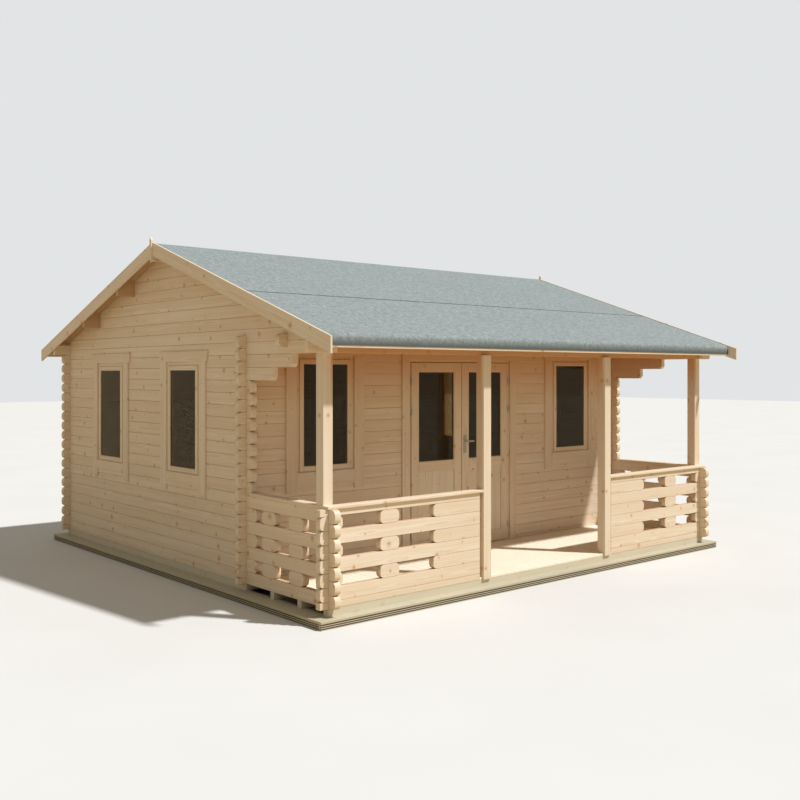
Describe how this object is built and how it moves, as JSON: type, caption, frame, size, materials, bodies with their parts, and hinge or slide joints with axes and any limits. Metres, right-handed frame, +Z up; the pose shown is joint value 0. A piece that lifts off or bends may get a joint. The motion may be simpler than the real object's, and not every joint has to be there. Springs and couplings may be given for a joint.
{
  "type": "log cabin",
  "caption": "Log cabin with a gabled felt roof carried over a front veranda, log railings, square posts, trimmed windows and a glazed double door with a lever.",
  "frame": {"origin": "on the ground under the middle of the cabin", "axes": "+X to the right seen from the front, -Y towards the front (the veranda), +Z up"},
  "size_m": [5.822, 5.954, 3.3727],
  "materials": {
    "spruce": "planed and clear-finished",
    "treated_timber": "rough sawn, pressure treated",
    "felt": "mineral-surfaced",
    "glass": "clear",
    "steel": "satin"
  },
  "bodies": {
    "cabin": {"base_boards": "treated_timber", "wall_bearers": "treated_timber", "floor_joists": "treated_timber", "cabin_floor": "spruce", "veranda_floor": "spruce", "gable_walls": "spruce", "veranda_gable_logs": "spruce", "back_wall": "spruce", "front_wall_left": "spruce", "front_wall_right": "spruce", "front_wall_over_door": "spruce", "front_railings": "spruce", "side_railings": "spruce", "railing_caps": "spruce", "corner_posts": "spruce", "entrance_posts": "spruce", "front_beam": "spruce", "purlins": "spruce", "ridge_beam": "spruce", "roof_boards_front": "spruce", "roof_boards_back": "spruce", "eave_boards": "spruce", "barge_boards": "spruce", "finials": "spruce", "window_frames": "spruce", "window_trims": "spruce", "door_frame": "spruce", "door_trim": "spruce", "roofing_felt": "felt", "window_glass": "glass", "hinge_pins": "steel"},
    "left_leaf": {"left_door": "spruce", "left_door_glass": "glass", "left_hinge_barrels": "steel"},
    "right_leaf": {"right_door": "spruce", "right_door_glass": "glass", "right_hinge_barrels": "steel", "handle_plates": "steel"},
    "lever": {"door_lever": "steel"}
  },
  "joints": [
    {"name": "left_door_hinge", "type": "hinge", "parent": "cabin", "child": "left_leaf", "pos_m": [-0.721, -1.436, 1.146], "axis": [0, 0, -1], "range_deg": [0, 110]},
    {"name": "right_door_hinge", "type": "hinge", "parent": "cabin", "child": "right_leaf", "pos_m": [0.721, -1.436, 1.146], "axis": [0, 0, 1], "range_deg": [0, 110]},
    {"name": "lever_turn", "type": "hinge", "parent": "right_leaf", "child": "lever", "pos_m": [0.045, -1.407, 1.288], "axis": [0, 1, 0], "range_deg": [0, 40]}
  ]
}
